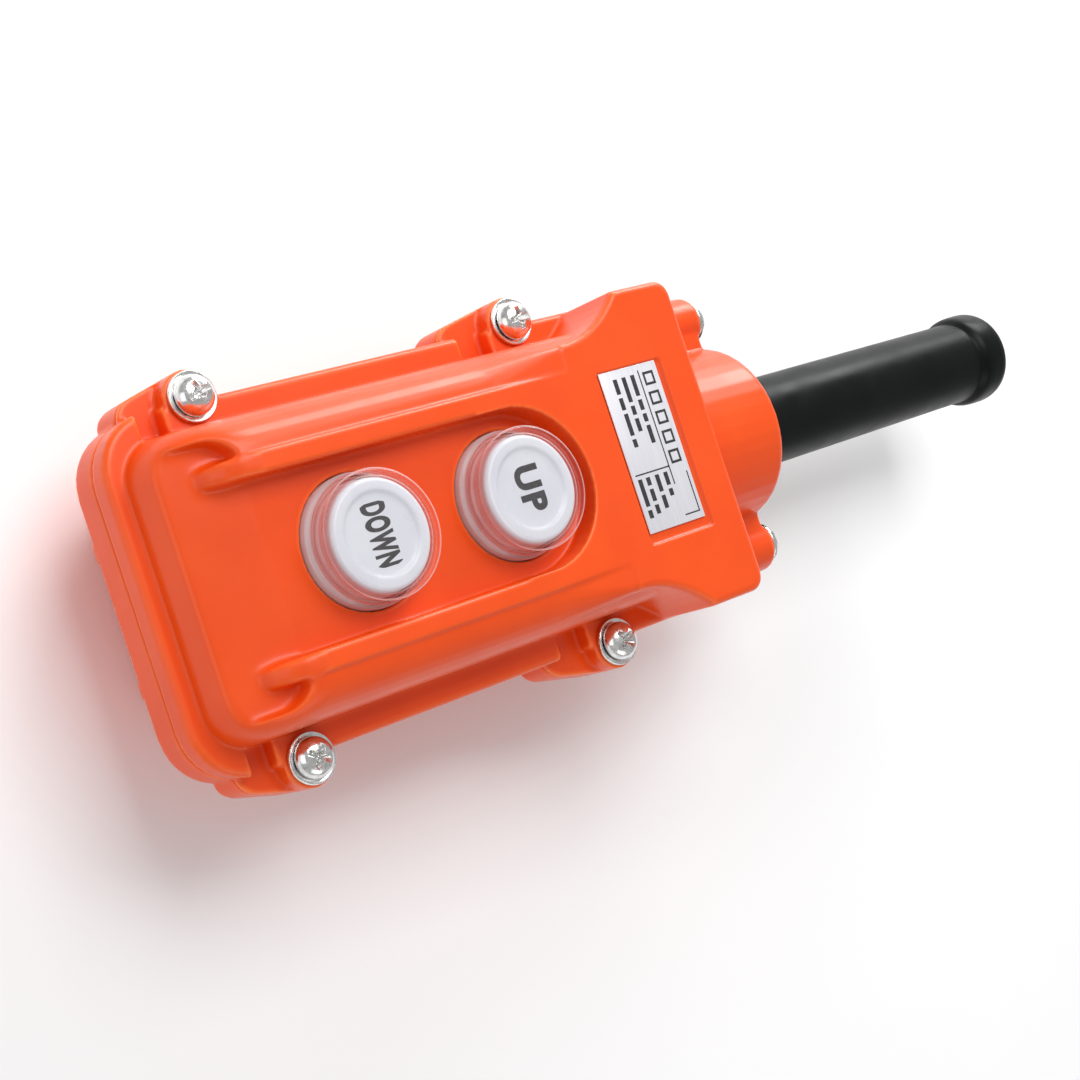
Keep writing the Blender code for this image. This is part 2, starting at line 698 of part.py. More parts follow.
def gland_fasteners():
    seat = X_COLLAR + 0.6
    base = seat + WASHER_THICK + 0.15
    profile = pan_profile(base, HEAD_RADIUS, HEAD_HEIGHT, SHANK_RADIUS, base - (X_OPEN - 2.8))
    for number, side in enumerate((1, -1), 1):
        y = side * LOBE_HALF
        washer = turned_x(f"gland_washer_{number}", washer_profile(seat), y, Z_PARTING, "zinc_steel", 20)
        screw = turned_x(f"gland_screw_{number}", profile, y, Z_PARTING, "zinc_steel", 20)
        cut(screw, *cross_slot_x(base + HEAD_HEIGHT, y))
        finish_smooth(screw)
        finish_smooth(washer)


# ---------------------------------------------------------------- buttons


def button(word, x):
    """One push button: cap, stem, contact bridge and its clip ride together."""
    inner = CAP_RADIUS - CAP_WALL
    roof = Z_CAP_TOP - CAP_ROOF
    cap_profile = [
        (0, Z_CAP_TOP - 0.5),
        (7.3, Z_CAP_TOP - 0.5),
        (7.8, Z_CAP_TOP),
        (CAP_RADIUS - 0.6, Z_CAP_TOP),
        (CAP_RADIUS, Z_CAP_TOP - 0.6),
        (CAP_RADIUS, Z_CAP_FOOT),
        (inner, Z_CAP_FOOT),
        (inner, roof),
        (0, roof),
    ]
    cap = turned(f"button_cap_{word}", cap_profile, x, 0.0, "white_plastic", 28)
    stem_profile = [
        (0, roof - GAP),
        (STEM_RADIUS, roof - GAP),
        (STEM_RADIUS, Z_BRIDGE + BRIDGE_THICK + 0.2),
        (TIP_RADIUS, Z_BRIDGE + BRIDGE_THICK + 0.2),
        (TIP_RADIUS, Z_BRIDGE - 2.2),
        (0, Z_BRIDGE - 2.2),
    ]
    stem = turned(f"plunger_{word}", stem_profile, x, 0.0, "black_phenolic", 16)
    across, levels = (BRIDGE_HALF, -BRIDGE_HALF), (Z_BRIDGE, Z_BRIDGE + BRIDGE_THICK)
    bridge = block(f"contact_bridge_{word}", (x - 3.6, x + 3.6), across, levels, "copper")
    for y in (BRIDGE_HALF - 2.4, 2.4 - BRIDGE_HALF):
        join(bridge, prism("tip", circle(x, y, 1.7, 12), Z_BRIDGE - 0.6, Z_BRIDGE + 0.3))
    cut(bridge, prism("eye", circle(x, 0.0, TIP_RADIUS + 0.2, 12), Z_BRIDGE - 2, Z_BRIDGE + 2))
    eye, low, high = TIP_RADIUS + 0.15, Z_BRIDGE - 1.1, Z_BRIDGE - 0.3
    clip_profile = [(eye, low), (3.1, low), (3.1, high), (eye, high)]
    clip = turned(f"bridge_clip_{word}", clip_profile, x, 0.0, "spring_steel", 12)
    for piece in (cap, stem, bridge, clip):
        finish_smooth(piece)
        move_origin(piece, x, 0.0, Z_FLOOR)


def button_boot(word, x):
    """The clear rubber boot over a cap: flange under the cover, lip in the hole, fold and top."""
    thick = BOOT_THICK
    outer = [
        (0, Z_BOOT_TOP),
        (BOOT_RADIUS - 1.2, Z_BOOT_TOP),
        (BOOT_RADIUS - 0.2, Z_BOOT_TOP - 0.8),
        (BOOT_RADIUS, Z_BOOT_TOP - 2.4),
        (BOOT_RADIUS - 0.3, Z_FLOOR + 3.4),
        (BOOT_LIP_RADIUS, Z_FLOOR + 1.6),
        (BOOT_LIP_RADIUS, Z_UNDER_FLOOR - 0.3),
        (BOOT_LIP_RADIUS + 2.4, Z_UNDER_FLOOR - 0.3),
        (BOOT_LIP_RADIUS + 2.4, Z_UNDER_FLOOR - 0.3 - thick),
    ]
    inner = [
        (BOOT_LIP_RADIUS - thick, Z_UNDER_FLOOR - 0.3 - thick),
        (BOOT_LIP_RADIUS - thick, Z_FLOOR + 1.2),
        (BOOT_RADIUS - 0.3 - thick, Z_FLOOR + 3.2),
        (BOOT_RADIUS - thick, Z_BOOT_TOP - 2.4),
        (BOOT_RADIUS - 1.3, Z_BOOT_TOP - thick),
        (0, Z_BOOT_TOP - thick),
    ]
    boot = turned(f"button_boot_{word}", outer + inner, x, 0.0, "clear_silicone", 28)
    finish_smooth(boot)


def return_spring(word, x):
    """A compression spring round the stem, from the counterbore's floor to the cap's roof."""
    low = Z_COUNTERBORE + GAP + SPRING_WIRE
    high = Z_CAP_TOP - CAP_ROOF - GAP - SPRING_WIRE
    per_turn, sides = 12, 6
    count = SPRING_TURNS * per_turn
    points, faces = [], []
    for k in range(count + 1):
        angle = 2 * math.pi * k / per_turn
        z = low + (high - low) * k / count
        for j in range(sides):
            a = 2 * math.pi * j / sides
            r = SPRING_RADIUS + SPRING_WIRE * math.cos(a)
            points.append((x + r * math.cos(angle), r * math.sin(angle), z + SPRING_WIRE * math.sin(a)))
    for k in range(count):
        for j in range(sides):
            n = (j + 1) % sides
            faces.append((k * sides + j, k * sides + n, (k + 1) * sides + n, (k + 1) * sides + j))
    faces.append(tuple(range(sides)))
    faces.append(tuple(range(count * sides + sides - 1, count * sides - 1, -1)))
    spring = face_outwards(mesh_object(f"return_spring_{word}", points, faces, "spring_steel"))
    finish_smooth(spring, 60)


# ---------------------------------------------------------------- contact block


def base_screw_x():
    return (X_BLOCK - BLOCK_HALF_LENGTH - 3.3, X_BLOCK + BLOCK_HALF_LENGTH + 3.3)


def contact_block():
    """The moulded block under the cover's floor that guides both stems and carries the terminals."""
    ears = box_outline(X_BLOCK - BLOCK_EAR_LENGTH, X_BLOCK + BLOCK_EAR_LENGTH, BLOCK_HALF_WIDTH, 1.5, 1.5, 2)
    body = box_outline(X_BLOCK - BLOCK_HALF_LENGTH, X_BLOCK + BLOCK_HALF_LENGTH, BLOCK_HALF_WIDTH)
    moulding = prism("contact_block", ears, Z_BLOCK_EAR, Z_BLOCK_TOP, "black_phenolic")
    join(moulding, prism("body", body, Z_BLOCK_FOOT, Z_BLOCK_EAR + 1.0, "black_phenolic"))
    under = Z_BLOCK_FOOT - 2.0
    across = (CHANNEL_HALF_LENGTH, -CHANNEL_HALF_LENGTH)
    cutters = [block("groove", (X_DOWN, X_UP), (3.3, -3.3), (under, Z_BLOCK_FOOT + 4.2))]
    for x in (X_DOWN, X_UP):
        bore = circle(x, 0.0, COUNTERBORE_RADIUS)
        cutters.append(prism("counterbore", bore, Z_COUNTERBORE, Z_BLOCK_TOP + 2))
        cutters.append(prism("guide", circle(x, 0.0, STEM_RADIUS + 0.3, 16), under, Z_COUNTERBORE + 2))
        along = (x - CHANNEL_HALF_WIDTH, x + CHANNEL_HALF_WIDTH)
        cutters.append(block("channel", along, across, (under, Z_CHANNEL)))
        for y in (TERMINAL_Y, -TERMINAL_Y):
            cutters.append(prism("tap", circle(x, y, 1.75, 10), under, Z_BLOCK_FOOT + 7.0))
    for x in base_screw_x():
        for y in (BASE_SCREW_Y, -BASE_SCREW_Y):
            cutters.append(prism("hole", circle(x, y, 1.75, 10), Z_BLOCK_EAR - 2, Z_BLOCK_TOP + 2))
    for y in (PLATE_SCREW_Y, -PLATE_SCREW_Y):
        cutters.append(prism("hole", circle(X_BLOCK, y, 1.45, 10), under, Z_BLOCK_FOOT + 6))
    cut(moulding, *cutters)
    finish_smooth(moulding)


def small_screw(name, x, y, base, head, shank, slot, height=2.0):
    """A cheese-head screw that points up: head is (radius, edge), shank is (radius, length)."""
    (radius, edge), (thin, length) = head, shank
    profile = [
        (0, base - height),
        (radius - edge, base - height),
        (radius, base - height + edge),
        (radius, base),
        (thin, base),
        (thin, base + length),
        (0, base + length),
    ]
    finish_smooth(turned(name, profile, x, y, slot, 12))


def block_screws():
    places = [(x, side * BASE_SCREW_Y) for x in base_screw_x() for side in (1, -1)]
    for number, (x, y) in enumerate(places, 1):
        name, base = f"block_screw_{number}", Z_BLOCK_EAR - 0.25
        small_screw(name, x, y, base, (2.7, 0.5), (1.3, 9.0), "zinc_steel", 1.8)


def terminals():
    """A fixed contact strip and its clamp screw on each side of each button."""
    top = Z_BLOCK_FOOT - 0.25
    for word, x in (("down", X_DOWN), ("up", X_UP)):
        for label, side in (("a", 1), ("b", -1)):
            y = side * TERMINAL_Y
            along, across = (x - 3.4, x + 3.4), (side * 8.6, side * 21.6)
            strip = block(f"fixed_contact_{word}_{label}", along, across, (top - 1.0, top), "brass")
            cut(strip, prism("eye", circle(x, y, 1.75, 10), top - 3, top + 2))
            small_screw(f"terminal_screw_{word}_{label}", x, y, top - 1.25, (3.0, 0.5), (1.5, 7.2), "brass")


def interlock():
    """The bar between the two stems and the plate that keeps it in its groove."""
    tip, wedge, half_tip, half = INTERLOCK_HALF, 1.8, 1.2, 3.0
    quarter = [(tip, half_tip), (tip - wedge, half)]
    outline = quarter + [(-x, y) for x, y in reversed(quarter)]
    outline += [(-x, -y) for x, y in quarter] + [(x, -y) for x, y in reversed(quarter)]
    plan = [(X_BLOCK + x, y) for x, y in outline]
    bar = prism("interlock_bar", plan, Z_BLOCK_FOOT + 0.3, Z_BLOCK_FOOT + 3.9, "white_plastic")
    move_origin(bar, X_BLOCK, 0.0, Z_BLOCK_FOOT)
    cover = box_outline(X_BLOCK - 7.0, X_BLOCK + 7.0, 12.5, 1.5, 1.5, 2)
    plate = prism("interlock_plate", cover, Z_BLOCK_FOOT - 1.25, Z_BLOCK_FOOT - 0.25, "zinc_steel")
    for number, side in enumerate((1, -1), 1):
        y = side * PLATE_SCREW_Y
        cut(plate, prism("eye", circle(X_BLOCK, y, 1.45, 10), Z_BLOCK_FOOT - 3, Z_BLOCK_FOOT + 1))
        name, base = f"plate_screw_{number}", Z_BLOCK_FOOT - 1.5
        small_screw(name, X_BLOCK, y, base, (2.4, 0.4), (1.2, 6.0), "zinc_steel", 1.5)


def main():
    for old in list(bpy.data.objects):
        bpy.data.objects.remove(old)
    front_cover()
    rear_case()
    case_gasket()
    rating_plate()
    gland_cap()
    cable_sleeve()
    cover_fasteners()
    gland_fasteners()
    contact_block()
    block_screws()
    terminals()
    interlock()
    for word, x in (("down", X_DOWN), ("up", X_UP)):
        button(word, x)
        button_boot(word, x)
        return_spring(word, x)


main()
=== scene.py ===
"""Looks of the two-button pendant control station.

Everything is in metres in the part's own frame: +X towards the cable sleeve, +Y across the case and
+Z out of the button face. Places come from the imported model's boxes; shapes are built here.
"""

import json
import math

import bmesh
import bpy
import numpy as np
from mathutils import Matrix, Vector


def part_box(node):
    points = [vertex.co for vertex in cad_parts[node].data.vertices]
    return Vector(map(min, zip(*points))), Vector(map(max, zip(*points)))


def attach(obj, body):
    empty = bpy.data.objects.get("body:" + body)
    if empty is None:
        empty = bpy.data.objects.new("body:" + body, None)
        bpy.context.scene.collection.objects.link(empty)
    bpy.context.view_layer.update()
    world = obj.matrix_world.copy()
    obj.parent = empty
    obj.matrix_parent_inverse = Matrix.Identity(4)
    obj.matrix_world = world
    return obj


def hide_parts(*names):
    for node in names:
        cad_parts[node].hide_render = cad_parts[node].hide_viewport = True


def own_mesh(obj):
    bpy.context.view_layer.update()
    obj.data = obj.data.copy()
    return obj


MM = 0.001
LATHE_STEPS = 96
# name of the attribute that holds the mask of the painted edge highlight
EDGE_HIGHLIGHT_ATTRIBUTE = "edge"

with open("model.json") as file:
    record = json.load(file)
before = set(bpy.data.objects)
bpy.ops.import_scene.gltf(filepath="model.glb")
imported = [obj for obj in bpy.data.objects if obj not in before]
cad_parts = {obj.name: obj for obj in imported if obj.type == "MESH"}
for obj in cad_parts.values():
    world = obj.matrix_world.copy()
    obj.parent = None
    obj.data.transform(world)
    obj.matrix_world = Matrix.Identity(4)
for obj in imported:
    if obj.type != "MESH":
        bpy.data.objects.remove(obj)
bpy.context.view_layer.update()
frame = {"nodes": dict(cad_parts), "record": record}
NODES = frame["nodes"]


# ---------------------------------------------------------------- materials


class Surface:
    """A Principled material whose colour, roughness and bump come from noise in object space."""

    def __init__(self, name, colour, roughness, metallic=0.0, **sockets):
        self.material = bpy.data.materials.new(name)
        self.material.use_nodes = True
        self.tree = self.material.node_tree
        self.shader = self.tree.nodes["Principled BSDF"]
        self.place = self.node("ShaderNodeTexCoord").outputs["Object"]
        self.shader.inputs["Base Color"].default_value = (*colour, 1.0)
        self.shader.inputs["Roughness"].default_value = roughness
        self.shader.inputs["Metallic"].default_value = metallic
        for socket, value in sockets.items():
            self.shader.inputs[socket.replace("_", " ")].default_value = value
        self.normal = None

    def node(self, kind, **settings):
        made = self.tree.nodes.new(kind)
        for key, value in settings.items():
            setattr(made, key, value)
        return made

    def link(self, source, target):
        self.tree.links.new(source, target)

    def noise(self, scale, detail=3.0, stretch=(1.0, 1.0, 1.0)):
        """Noise whose scale is in cells per metre."""
        mapping = self.node("ShaderNodeMapping")
        mapping.inputs["Scale"].default_value = stretch
        self.link(self.place, mapping.inputs["Vector"])
        made = self.node("ShaderNodeTexNoise")
        made.inputs["Scale"].default_value = scale
        made.inputs["Detail"].default_value = detail
        made.inputs["Roughness"].default_value = 0.55
        self.link(mapping.outputs["Vector"], made.inputs["Vector"])
        return made.outputs["Fac"]

    def ramp(self, value, stops):
        """A colour ramp through (position, colour) stops."""
        made = self.node("ShaderNodeValToRGB")
        ramp = made.color_ramp
        while len(ramp.elements) < len(stops):
            ramp.elements.new(0.5)
        for element, (position, colour) in zip(ramp.elements, stops, strict=True):
            element.position = position
            element.color = (*colour, 1.0)
        self.link(value, made.inputs["Fac"])
        return made.outputs["Color"]

    def spread(self, value, low, high, from_low=0.3, from_high=0.7):
        """Takes the value from one range to another, held at both ends."""
        made = self.node("ShaderNodeMapRange")
        numbers = {"From Min": from_low, "From Max": from_high, "To Min": low, "To Max": high}
        for socket, number in numbers.items():
            made.inputs[socket].default_value = number
        self.link(value, made.inputs["Value"])
        return made.outputs["Result"]

    def mottle(self, scale, stops, **how):
        """Colour that varies with noise."""
        self.link(self.ramp(self.noise(scale, **how), stops), self.shader.inputs["Base Color"])

    def worn(self, scale, low, high, **how):
        """Roughness that varies with noise, from low to high."""
        self.link(self.spread(self.noise(scale, **how), low, high), self.shader.inputs["Roughness"])

    def grain(self, scale, strength, distance, **how):
        """Adds a layer of bump over the layers made before it."""
        made = self.node("ShaderNodeBump")
        made.inputs["Strength"].default_value = strength
        made.inputs["Distance"].default_value = distance
        self.link(self.noise(scale, **how), made.inputs["Height"])
        if self.normal:
            self.link(self.normal, made.inputs["Normal"])
        self.normal = made.outputs["Normal"]
        self.link(self.normal, self.shader.inputs["Normal"])


def orange_plastic():
    """Moulded ABS, half gloss, with a faint orange-peel surface; a painted highlight makes it lighter along
    moulded edges.
    """
    made = Surface("orange_plastic", (0.83, 0.075, 0.005), 0.34, Specular_IOR_Level=0.40)
    cloud = made.ramp(made.noise(45.0), [(0.3, (0.80, 0.069, 0.004)), (0.7, (0.86, 0.083, 0.005))])
    # painted highlight: a lighter, yellower orange mixed in along convex edges by the curvature mask
    edge = made.node("ShaderNodeAttribute", attribute_name=EDGE_HIGHLIGHT_ATTRIBUTE).outputs["Fac"]
    mix = made.node("ShaderNodeMix", data_type="RGBA")
    made.link(edge, mix.inputs["Factor"])
    made.link(cloud, mix.inputs["A"])
    mix.inputs["B"].default_value = (0.98, 0.17, 0.03, 1.0)
    made.link(mix.outputs["Result"], made.shader.inputs["Base Color"])
    made.worn(70.0, 0.28, 0.38, detail=5.0)
    made.grain(420.0, 0.10, 0.00010, detail=2.0)
    made.grain(2600.0, 0.08, 0.00004, detail=2.0)
    made.shader.inputs["Subsurface Weight"].default_value = 0.05
    made.shader.inputs["Subsurface Radius"].default_value = (1.0, 0.25, 0.08)
    made.shader.inputs["Subsurface Scale"].default_value = 0.0008
    return made.material


def black_rubber():
    """Moulded rubber with a satin skin."""
    made = Surface("black_rubber", (0.006, 0.007, 0.008), 0.42, Specular_IOR_Level=0.12)
    made.mottle(60.0, [(0.3, (0.003, 0.004, 0.004)), (0.7, (0.006, 0.007, 0.007))])
    made.worn(120.0, 0.30, 0.44, detail=5.0)
    made.grain(700.0, 0.12, 0.00010)
    made.grain(5200.0, 0.10, 0.00003)
    return made.material


def silicone(name, thin, thick, clear, dense, roughness):
    """Clear rubber in two mixed colours, from clear where it is seen square on to dense at its edges."""
    made = Surface(name, thin, roughness, Specular_IOR_Level=0.9, IOR=1.45)
    made.mottle(160.0, [(0.3, thick), (0.7, thin)])
    made.worn(150.0, roughness * 0.7, roughness * 1.6)
    made.grain(300.0, 0.18, 0.00012)
    facing = made.node("ShaderNodeLayerWeight")
    facing.inputs["Blend"].default_value = 0.5
    made.link(made.spread(facing.outputs["Facing"], clear, dense, 0.30, 0.95), made.shader.inputs["Alpha"])
    return made.material


def white_plastic():
    """Smooth white moulding, faintly clouded."""
    made = Surface("white_plastic", (0.67, 0.68, 0.74), 0.30, IOR=1.48)
    made.mottle(120.0, [(0.3, (0.65, 0.66, 0.72)), (0.7, (0.70, 0.71, 0.76))])
    made.worn(200.0, 0.26, 0.38)
    made.grain(1500.0, 0.06, 0.00005)
    return made.material


def legend_ink():
    """Dark print, slightly uneven."""
    made = Surface("legend_ink", (0.02, 0.02, 0.025), 0.5)
    made.mottle(1500.0, [(0.35, (0.014, 0.014, 0.017)), (0.7, (0.034, 0.034, 0.038))])
    made.worn(900.0, 0.42, 0.6)
    return made.material


def zinc_steel():
    """Bright zinc plate: fine scratches and slightly cloudy patches."""
    made = Surface("zinc_steel", (0.80, 0.80, 0.79), 0.2, 1.0)
    made.mottle(900.0, [(0.3, (0.66, 0.66, 0.65)), (0.65, (0.90, 0.90, 0.89))], detail=6.0)
    made.worn(1400.0, 0.12, 0.32, detail=6.0)
    made.grain(1200.0, 0.12, 0.00006, detail=5.0)
    made.grain(9000.0, 0.08, 0.00002, stretch=(1.0, 0.12, 1.0))
    return made.material


def label_silver():
    """Printed foil: brushed along the plate, with a satin lacquer."""
    made = Surface("label_silver", (0.72, 0.72, 0.77), 0.36, 0.25, Coat_Weight=0.3, Coat_Roughness=0.25)
    made.mottle(3000.0, [(0.3, (0.69, 0.69, 0.74)), (0.7, (0.76, 0.76, 0.80))], stretch=(1.0, 0.04, 1.0))
    made.worn(2600.0, 0.30, 0.44, stretch=(1.0, 0.05, 1.0))
    made.grain(5000.0, 0.08, 0.00002, stretch=(1.0, 0.04, 1.0))
    return made.material


def black_phenolic():
    """Pressed phenolic: matt, with pale flecks of filler."""
    made = Surface("black_phenolic", (0.02, 0.02, 0.02), 0.5)
    made.mottle(1400.0, [(0.35, (0.012, 0.012, 0.012)), (0.62, (0.035, 0.033, 0.031))], detail=6.0)
    made.worn(500.0, 0.42, 0.62)
    made.grain(2400.0, 0.20, 0.00006)
    return made.material


def metal(name, dark, light, low, high):
    """A drawn or stamped metal with long fine marks."""
    made = Surface(name, light, low, 1.0)
    made.mottle(700.0, [(0.3, dark), (0.7, light)], detail=6.0)
    made.worn(1800.0, low, high, stretch=(1.0, 0.1, 1.0))
    made.grain(6000.0, 0.12, 0.00003, stretch=(0.15, 1.0, 1.0))
    return made.material


def gasket_rubber():
    """Soft matt rubber."""
    made = Surface("gasket_rubber", (0.03, 0.03, 0.03), 0.7)
    made.mottle(800.0, [(0.3, (0.02, 0.02, 0.02)), (0.7, (0.045, 0.045, 0.043))])
    made.worn(500.0, 0.62, 0.8)
    made.grain(3000.0, 0.25, 0.00008)
    return made.material


def floor_paint():
    """A plain pale studio floor."""
    made = Surface("floor_paint", (0.93, 0.93, 0.93), 0.6)
    made.mottle(6.0, [(0.3, (0.92, 0.92, 0.925)), (0.7, (0.94, 0.94, 0.94))])
    made.worn(20.0, 0.55, 0.7)
    return made.material


MATERIALS = {
    "orange_plastic": orange_plastic(),
    "black_rubber": black_rubber(),
    "clear_silicone": silicone("clear_silicone", (0.95, 0.90, 0.90), (0.93, 0.82, 0.82), 0.02, 0.62, 0.07),
    "white_plastic": white_plastic(),
    "zinc_steel": zinc_steel(),
    "label_silver": label_silver(),
    "black_phenolic": black_phenolic(),
    "brass": metal("brass", (0.50, 0.34, 0.12), (0.74, 0.54, 0.22), 0.22, 0.38),
    "copper": metal("copper", (0.55, 0.26, 0.15), (0.80, 0.42, 0.27), 0.22, 0.40),
    "gasket_rubber": gasket_rubber(),
    "spring_steel": metal("spring_steel", (0.40, 0.40, 0.41), (0.66, 0.66, 0.67), 0.2, 0.34),
}

# finishes that share a slot with the material above: print, and the boots' lower bands, one of them clear
# rubber tinted red as a painted reflection of the orange case
LEGEND_INK = legend_ink()
# painted reflection: the clear wall is tinted red for the orange case's light seen through it and bounced
# onto it
SILICONE_PAINTED_ORANGE_REFLECTION = silicone("silicone_painted_orange_reflection", (0.90, 0.36, 0.31), (0.82, 0.25, 0.21), 0.30, 0.66, 0.10)
FROSTED_SILICONE = silicone("frosted_silicone", (0.97, 0.84, 0.85), (0.92, 0.72, 0.73), 0.50, 0.85, 0.12)


# ---------------------------------------------------------------- mesh helpers

BOX_FACES = ((0, 3, 2, 1), (4, 5, 6, 7), (0, 1, 5, 4), (1, 2, 6, 5), (2, 3, 7, 6), (3, 0, 4, 7))


def piece_from(name, mesh, slot, body="case", replaces=()):
    """Makes an object of a mesh, gives it its material and says what it rides on and stands for."""
    mesh.materials.clear()
    mesh.materials.append(MATERIALS[slot])
    made = bpy.data.objects.new(name, mesh)
    bpy.context.scene.collection.objects.link(made)
    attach(made, body)
    if replaces:
        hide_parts(*replaces)
    return made


def bake_modifiers(obj):
    """Applies the object's modifiers to its mesh."""
    graph = bpy.context.evaluated_depsgraph_get()
    result = bpy.data.meshes.new_from_object(obj.evaluated_get(graph))
    obj.modifiers.clear()
    obj.data = result


def smooth(mesh, degrees=40):
    """Shades the mesh smooth, apart from edges sharper than the angle."""
    mesh.shade_smooth()
    mesh.set_sharp_from_angle(angle=math.radians(degrees))
    return mesh


def rounded_profile(corners, steps=4):
    """Turns (radius, height, fillet) corners into profile points with round fillets.

    The two end corners stay sharp, and no fillet takes as much as half of a side.
    """
    most = 0.49
    points = []
    count = len(corners)
    for i, (r, h, fillet) in enumerate(corners):
        if fillet <= 0 or i in (0, count - 1):
            points.append((r, h))
            continue
        here = Vector((r, h))
        back = Vector(corners[i - 1][:2]) - here
        ahead = Vector(corners[i + 1][:2]) - here
        first = here + back.normalized() * min(fillet, back.length * most)
        last = here + ahead.normalized() * min(fillet, ahead.length * most)
        for k in range(steps + 1):
            t = k / steps
            points.append(tuple(first * (1 - t) ** 2 + here * 2 * t * (1 - t) + last * t**2))
    return points


def lathe(name, profile, steps=LATHE_STEPS):
    """A mesh of revolution about Z from (radius, height) points in millimetres.

    A profile that starts or ends on the axis is closed there; any other is joined end to start.
    """
    work = bmesh.new()
    turns = [2 * math.pi * k / steps for k in range(steps)]
    rings = []
    for r, h in profile:
        if r == 0:
            rings.append([work.verts.new((0, 0, h * MM))])
            continue
        rings.append([work.verts.new((r * MM * math.cos(t), r * MM * math.sin(t), h * MM)) for t in turns])
    pairs = list(zip(rings, rings[1:]))
    if profile[0][0] and profile[-1][0]:
        pairs.append((rings[-1], rings[0]))
    for low, high in pairs:
        for k in range(steps):
            n = (k + 1) % steps
            corners = [low[k % len(low)], low[n % len(low)], high[n % len(high)], high[k % len(high)]]
            face = list(dict.fromkeys(corners))
            if len(face) > 2:
                work.faces.new(face)
    bmesh.ops.recalc_face_normals(work, faces=work.faces)
    mesh = bpy.data.meshes.new(name)
    work.to_mesh(mesh)
    work.free()
    return smooth(mesh)


def vertex_array(mesh, key):
    """One row of three numbers for each vertex."""
    values = np.empty(len(mesh.vertices) * 3)
    mesh.vertices.foreach_get(key, values)
    return values.reshape(-1, 3)


def averager(mesh):
    """A function that gives each vertex the mean of its neighbours' rows."""
    count = len(mesh.vertices)
    ends = np.empty(len(mesh.edges) * 2, int)
    mesh.edges.foreach_get("vertices", ends)
    a, b = ends[::2], ends[1::2]
    degree = np.bincount(a, minlength=count) + np.bincount(b, minlength=count)

    def average(rows):
        sums = [np.bincount(a, row[b], count) + np.bincount(b, row[a], count) for row in rows.T]
        return np.stack(sums, 1) / degree[:, None]

    return average


def relax(mesh, rounds, hold):
    """Laplacian smoothing. hold gives, for each vertex, the share of each step that it refuses."""
    full_step = 0.6
    spots = vertex_array(mesh, "co")
    average = averager(mesh)
    step = (full_step * (1.0 - hold(spots)))[:, None]
    for _ in range(rounds):
        spots += step * (average(spots) - spots)
    mesh.vertices.foreach_set("co", spots.ravel())
    mesh.update()


def mark_edge_highlight(mesh, voxel):
    """Stores how tightly the surface bends outwards, as 0 to 1 between two curvatures per metre; the orange
    plastic uses it as the mask of its painted edge highlight.
    """
    flat, tight, spread = 250.0, 1100.0, 4
    spots = vertex_array(mesh, "co")
    average = averager(mesh)
    outward = ((spots - average(spots)) * vertex_array(mesh, "normal")).sum(1, keepdims=True)
    bend = 4 * outward / (voxel * MM) ** 2
    for _ in range(spread):
        bend = average(bend)
    share = np.clip((bend - flat) / (tight - flat), 0.0, 1.0)
    mesh.attributes.new(EDGE_HIGHLIGHT_ATTRIBUTE, "FLOAT", "POINT").data.foreach_set("value", share.ravel())


def moulded_shell(node, name, voxel, *passes):
    """A CAD shell with the soft edges of a moulding.

    It is remeshed finely, with the voxel size in millimetres, and relaxed in (rounds, hold) passes.
    """
    rough = bpy.data.objects.new(name + "_rough", NODES[node].data.copy())
    bpy.context.scene.collection.objects.link(rough)
    remesh = rough.modifiers.new("even", "REMESH")
    remesh.mode = "VOXEL"
    remesh.voxel_size = voxel * MM
    bake_modifiers(rough)
    for rounds, hold in passes:
        relax(rough.data, rounds, hold)
    # the mask for the painted edge highlight
    mark_edge_highlight(rough.data, voxel)
    mesh = rough.data
    bpy.data.objects.remove(rough)
    mesh.shade_smooth()
    return piece_from(name, mesh, "orange_plastic", "case", (node,))


def centre_of(node):
    """The middle of a CAD node's box."""
    low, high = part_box(node)
    return (low + high) / 2


# ---------------------------------------------------------------- case and gland

Z_PARTING = centre_of("cable_sleeve").z
X_CLOSED_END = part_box("front_cover")[0].x
PLATE_LOW, PLATE_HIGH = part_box("rating_plate")
FIRM = 0.8
EDGE_BAND = 1.2 * MM


def hold_cover(spots):
    """The cover keeps its parting edge and the rating plate's recess crisp."""
    around, below, crisp = 2.5 * MM, 0.8 * MM, 0.75
    x, y, z = spots.T
    held = np.where(z < Z_PARTING + EDGE_BAND, FIRM, 0.0)
    in_recess = (x > PLATE_LOW.x - around) & (x < PLATE_HIGH.x + around)
    in_recess &= (abs(y) < PLATE_HIGH.y + around) & (z > PLATE_LOW.z - below)
    return np.where(in_recess, crisp, held)


def hold_all_but_end(spots):
    """Only the crown's closed end and the rails' tips are free, with a gradual start along X and Z."""
    reach, fade_x = 20.0 * MM, 4.0 * MM
    ledge, fade_z = 5.8 * MM, 2.0 * MM
    x, _, z = spots.T
    along = np.clip((X_CLOSED_END + reach - x) / fade_x, 0.0, 1.0)
    above = np.clip((z - Z_PARTING - ledge) / fade_z, 0.0, 1.0)
    return 1.0 - along * above


def hold_parting(spots):
    """The rear case keeps the edge that meets the cover."""
    return np.where(spots[:, 2] > Z_PARTING - EDGE_BAND, FIRM, 0.0)


def hold_gland(spots):
    """The gland cap keeps the face that meets the case."""
    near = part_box("gland_cap")[0].x + 0.8 * MM
    return np.where(spots[:, 0] < near, FIRM, 0.0)


def case_shells():
    """The two halves of the case and the gland cap."""
    moulded_shell("front_cover", "front_cover_shell", 0.30, (3, hold_cover), (28, hold_all_but_end))
    moulded_shell("rear_case", "rear_case_shell", 0.40, (4, hold_parting))
    moulded_shell("gland_cap", "gland_cap_shell", 0.34, (4, hold_gland))


# ---------------------------------------------------------------- rubber sleeve

CUFF_LENGTH = 7.7


